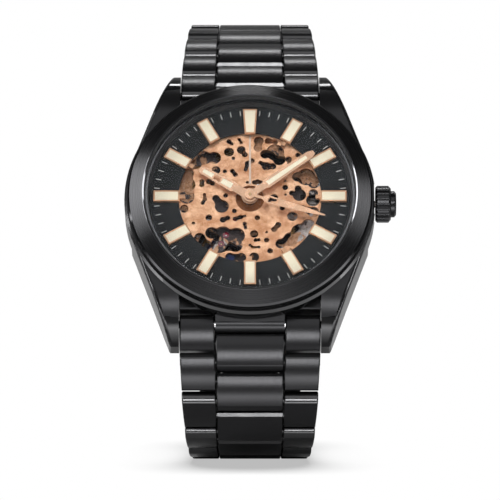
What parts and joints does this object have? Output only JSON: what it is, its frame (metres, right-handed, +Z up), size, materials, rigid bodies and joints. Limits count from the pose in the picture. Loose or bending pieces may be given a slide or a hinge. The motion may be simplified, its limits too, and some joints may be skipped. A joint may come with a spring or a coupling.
{
  "type": "automatic skeleton wristwatch",
  "caption": "Automatic wristwatch with an openworked dial and movement, lugged round case, turning crown and a closed three-link steel bracelet with a folding clasp.",
  "frame": {"origin": "middle of the case back's flat outer face; the watch stands on the lower side of its closed bracelet", "axes": "+Z up, +X towards 3 o'clock and the crown, -Y towards the viewer of the dial, whose normal points 27.3 degrees above -Y"},
  "size_m": [0.0463, 0.07, 0.075],
  "materials": {
    "black_steel": "black coated, satin brushed with polished edges",
    "bright_steel": "fine satin",
    "rose_gold": "rose-gold plated, frosted",
    "brass": "circular grained",
    "anthracite": "dark plated, grained",
    "dial_black": "matte",
    "ruby": "polished synthetic ruby",
    "sapphire": "clear, coated",
    "gasket": "matt",
    "holder": "moulded",
    "blued_steel": "blued",
    "lume": "cream luminous paste",
    "print": "printed minute marks"
  },
  "bodies": {
    "case": {"mid_case": "black_steel", "bezel": "black_steel", "crystal": "sapphire", "crystal_gasket": "gasket", "rehaut_ring": "black_steel", "case_back": "black_steel", "case_back_glass": "sapphire", "movement_holder": "holder", "spring_bars": "bright_steel", "end_links": "black_steel", "dial_plate": "dial_black", "hour_indices": "rose_gold", "main_plate": "anthracite", "skeleton_bridge": "rose_gold", "train_bridge": "anthracite", "balance_cocks": "anthracite", "jewels": "ruby", "movement_screws": "bright_steel", "rotor_bearing": "bright_steel"},
    "seconds": {"fourth_wheel": "brass", "seconds_hand": "rose_gold"},
    "center": {"center_wheel": "brass", "cannon_pinion": "bright_steel", "minute_hand": "rose_gold"},
    "barrel_drum": {"barrel": "brass", "mainspring": "bright_steel"},
    "third": {"third_wheel": "brass"},
    "escape": {"escape_wheel": "bright_steel"},
    "minute": {"minute_wheel": "bright_steel"},
    "hour": {"hour_wheel": "bright_steel", "hour_hand": "rose_gold"},
    "pallets": {"pallet_fork": "bright_steel"},
    "balance": {"balance_wheel": "rose_gold", "hairspring": "blued_steel"},
    "weight": {"rotor": "rose_gold"},
    "stem_slide": {"setting_lever": "bright_steel"},
    "crown_spin": {"crown": "black_steel", "winding_stem": "bright_steel"},
    "ratchet": {"ratchet_wheel": "bright_steel"},
    "upper_1": {"upper_row_1": "black_steel"},
    "upper_2": {"upper_row_2": "black_steel"},
    "upper_3": {"upper_row_3": "black_steel"},
    "upper_4": {"upper_row_4": "black_steel"},
    "upper_5": {"upper_row_5": "black_steel"},
    "upper_6": {"upper_row_6": "black_steel"},
    "upper_7": {"upper_row_7": "black_steel"},
    "upper_8": {"upper_row_8": "black_steel"},
    "lower_1": {"lower_row_1": "black_steel"},
    "lower_2": {"lower_row_2": "black_steel"},
    "lower_3": {"lower_row_3": "black_steel"},
    "lower_4": {"lower_row_4": "black_steel"},
    "lower_5": {"lower_row_5": "black_steel"},
    "lower_6": {"lower_row_6": "black_steel"},
    "lower_7": {"lower_row_7": "black_steel"},
    "lower_8": {"lower_row_8": "black_steel"},
    "lower_9": {"lower_row_9": "black_steel"},
    "lower_10": {"lower_row_10": "black_steel"},
    "cover": {"clasp_cover": "black_steel"},
    "long_blade": {"clasp_blade_long": "black_steel"},
    "short_blade": {"clasp_blade_short": "black_steel"}
  },
  "joints": [
    {"name": "seconds_turn", "type": "hinge", "parent": "case", "child": "seconds", "pos_m": [0, -0.00498, 0.00257], "axis": [0, -0.8886, 0.4586], "continuous": true},
    {"name": "third_turn", "type": "hinge", "parent": "case", "child": "third", "pos_m": [0.00324, -0.00675, -0.00086], "axis": [0, -0.8886, 0.4586], "continuous": true},
    {"name": "minute_hand_turn", "type": "hinge", "parent": "case", "child": "center", "pos_m": [0, -0.00498, 0.00257], "axis": [0, -0.8886, 0.4586], "continuous": true},
    {"name": "barrel_turn", "type": "hinge", "parent": "case", "child": "barrel_drum", "pos_m": [-0.00432, -0.00262, 0.00714], "axis": [0, -0.8886, 0.4586], "continuous": true},
    {"name": "escape_turn", "type": "hinge", "parent": "case", "child": "escape", "pos_m": [-0.00288, -0.00667, -0.00071], "axis": [0, -0.8886, 0.4586], "continuous": true},
    {"name": "minute_wheel_turn", "type": "hinge", "parent": "case", "child": "minute", "pos_m": [0.00184, -0.00427, 0.00394], "axis": [0, -0.8886, 0.4586], "continuous": true},
    {"name": "hour_hand_turn", "type": "hinge", "parent": "case", "child": "hour", "pos_m": [0, -0.00498, 0.00257], "axis": [0, -0.8886, 0.4586], "continuous": true},
    {"name": "pallet_rock", "type": "hinge", "parent": "case", "child": "pallets", "pos_m": [-0.00408, -0.0078, -0.00291], "axis": [0, -0.8886, 0.4586], "range_deg": [-4, 4]},
    {"name": "balance_swing", "type": "hinge", "parent": "case", "child": "balance", "pos_m": [-0.00488, -0.00855, -0.00436], "axis": [0, -0.8886, 0.4586], "range_deg": [-150, 150]},
    {"name": "rotor_turn", "type": "hinge", "parent": "case", "child": "weight", "pos_m": [0, -0.00498, 0.00257], "axis": [0, -0.8886, 0.4586], "continuous": true},
    {"name": "crown_pull", "type": "slide", "parent": "case", "child": "stem_slide", "axis": [1, 0, 0], "range_m": [0, 0.0012]},
    {"name": "crown_turn", "type": "hinge", "parent": "stem_slide", "child": "crown_spin", "pos_m": [0.022, -0.00595, 0.00307], "axis": [1, 0, 0], "continuous": true},
    {"name": "ratchet_turn", "type": "hinge", "parent": "case", "child": "ratchet", "pos_m": [-0.00432, -0.00022, 0.0059], "axis": [0, -0.8886, 0.4586], "continuous": true},
    {"name": "bracelet_open", "type": "hinge", "parent": "case", "child": "upper_1", "pos_m": [0, 0.00577, 0.02122], "axis": [1, 0, 0], "range_deg": [0, 30]},
    {"name": "upper_hinge_2", "type": "hinge", "parent": "upper_1", "child": "upper_2", "pos_m": [0, 0.01124, 0.02473], "axis": [1, 0, 0], "range_deg": [0, 2]},
    {"name": "upper_hinge_3", "type": "hinge", "parent": "upper_2", "child": "upper_3", "pos_m": [0, 0.01677, 0.02814], "axis": [1, 0, 0], "range_deg": [0, 8]},
    {"name": "upper_hinge_4", "type": "hinge", "parent": "upper_3", "child": "upper_4", "pos_m": [0, 0.02268, 0.03086], "axis": [1, 0, 0], "range_deg": [0, 15]},
    {"name": "upper_hinge_5", "type": "hinge", "parent": "upper_4", "child": "upper_5", "pos_m": [0, 0.02907, 0.03207], "axis": [1, 0, 0], "range_deg": [0, 19]},
    {"name": "upper_hinge_6", "type": "hinge", "parent": "upper_5", "child": "upper_6", "pos_m": [0, 0.03551, 0.03124], "axis": [1, 0, 0], "range_deg": [0, 15]},
    {"name": "upper_hinge_7", "type": "hinge", "parent": "upper_6", "child": "upper_7", "pos_m": [0, 0.04157, 0.02888], "axis": [1, 0, 0], "range_deg": [0, 21]},
    {"name": "upper_hinge_8", "type": "hinge", "parent": "upper_7", "child": "upper_8", "pos_m": [0, 0.04645, 0.02459], "axis": [1, 0, 0], "range_deg": [0, 25]},
    {"name": "lower_hinge_1", "type": "hinge", "parent": "case", "child": "lower_1", "pos_m": [0, -0.01395, -0.017], "axis": [-1, 0, 0], "range_deg": [0, 13]},
    {"name": "lower_hinge_2", "type": "hinge", "parent": "lower_1", "child": "lower_2", "pos_m": [0, -0.01566, -0.02327], "axis": [-1, 0, 0], "range_deg": [0, 16]},
    {"name": "lower_hinge_3", "type": "hinge", "parent": "lower_2", "child": "lower_3", "pos_m": [0, -0.0157, -0.02976], "axis": [-1, 0, 0], "range_deg": [0, 34]},
    {"name": "lower_hinge_4", "type": "hinge", "parent": "lower_3", "child": "lower_4", "pos_m": [0, -0.01219, -0.03523], "axis": [-1, 0, 0], "range_deg": [0, 31]},
    {"name": "lower_hinge_5", "type": "hinge", "parent": "lower_4", "child": "lower_5", "pos_m": [0, -0.00641, -0.03822], "axis": [-1, 0, 0], "range_deg": [0, 17]},
    {"name": "lower_hinge_6", "type": "hinge", "parent": "lower_5", "child": "lower_6", "pos_m": [0, -0.00004, -0.03949], "axis": [-1, 0, 0], "range_deg": [0, 12]},
    {"name": "lower_hinge_7", "type": "hinge", "parent": "lower_6", "child": "lower_7", "pos_m": [0, 0.00646, -0.03952], "axis": [-1, 0, 0], "range_deg": [0, 2]},
    {"name": "lower_hinge_8", "type": "hinge", "parent": "lower_7", "child": "lower_8", "pos_m": [0, 0.01296, -0.03944], "axis": [-1, 0, 0], "range_deg": [0, 18]},
    {"name": "lower_hinge_9", "type": "hinge", "parent": "lower_8", "child": "lower_9", "pos_m": [0, 0.01916, -0.03747], "axis": [-1, 0, 0], "range_deg": [0, 21]},
    {"name": "lower_hinge_10", "type": "hinge", "parent": "lower_9", "child": "lower_10", "pos_m": [0, 0.0243, -0.03349], "axis": [-1, 0, 0], "range_deg": [0, 20]},
    {"name": "clasp_cover_hinge", "type": "hinge", "parent": "lower_10", "child": "cover", "pos_m": [0, 0.02787, -0.02806], "axis": [-1, 0, 0], "range_deg": [0, 9.8]},
    {"name": "clasp_long_blade_hinge", "type": "hinge", "parent": "cover", "child": "long_blade", "pos_m": [0, 0.04564, 0.01095], "axis": [-1, 0, 0], "range_deg": [0, 151]},
    {"name": "clasp_short_blade_hinge", "type": "hinge", "parent": "long_blade", "child": "short_blade", "pos_m": [0, 0.02993, -0.02076], "axis": [1, 0, 0], "range_deg": [0, 151]}
  ],
  "couplings": [
    {"joint": "third_turn", "follows": "seconds_turn", "ratio": -0.13333},
    {"joint": "minute_hand_turn", "follows": "seconds_turn", "ratio": 0.016667},
    {"joint": "barrel_turn", "follows": "seconds_turn", "ratio": -0.002381},
    {"joint": "escape_turn", "follows": "seconds_turn", "ratio": -12},
    {"joint": "minute_wheel_turn", "follows": "seconds_turn", "ratio": -0.0055556},
    {"joint": "hour_hand_turn", "follows": "seconds_turn", "ratio": 0.0013889},
    {"joint": "ratchet_turn", "follows": "crown_turn", "ratio": 0.3},
    {"joint": "upper_hinge_2", "follows": "bracelet_open", "ratio": 0.033333},
    {"joint": "upper_hinge_3", "follows": "bracelet_open", "ratio": 0.23333},
    {"joint": "upper_hinge_4", "follows": "bracelet_open", "ratio": 0.46667},
    {"joint": "upper_hinge_5", "follows": "bracelet_open", "ratio": 0.6},
    {"joint": "upper_hinge_6", "follows": "bracelet_open", "ratio": 0.46667},
    {"joint": "upper_hinge_7", "follows": "bracelet_open", "ratio": 0.66667},
    {"joint": "upper_hinge_8", "follows": "bracelet_open", "ratio": 0.8},
    {"joint": "lower_hinge_1", "follows": "bracelet_open", "ratio": 0.4},
    {"joint": "lower_hinge_2", "follows": "bracelet_open", "ratio": 0.5},
    {"joint": "lower_hinge_3", "follows": "bracelet_open", "ratio": 1.1},
    {"joint": "lower_hinge_4", "follows": "bracelet_open", "ratio": 1},
    {"joint": "lower_hinge_5", "follows": "bracelet_open", "ratio": 0.53333},
    {"joint": "lower_hinge_6", "follows": "bracelet_open", "ratio": 0.36667},
    {"joint": "lower_hinge_7", "follows": "bracelet_open", "ratio": 0.033333},
    {"joint": "lower_hinge_8", "follows": "bracelet_open", "ratio": 0.56667},
    {"joint": "lower_hinge_9", "follows": "bracelet_open", "ratio": 0.66667},
    {"joint": "lower_hinge_10", "follows": "bracelet_open", "ratio": 0.63333},
    {"joint": "clasp_cover_hinge", "follows": "bracelet_open", "ratio": 0.29336},
    {"joint": "clasp_long_blade_hinge", "follows": "bracelet_open", "ratio": 5},
    {"joint": "clasp_short_blade_hinge", "follows": "bracelet_open", "ratio": 5}
  ]
}
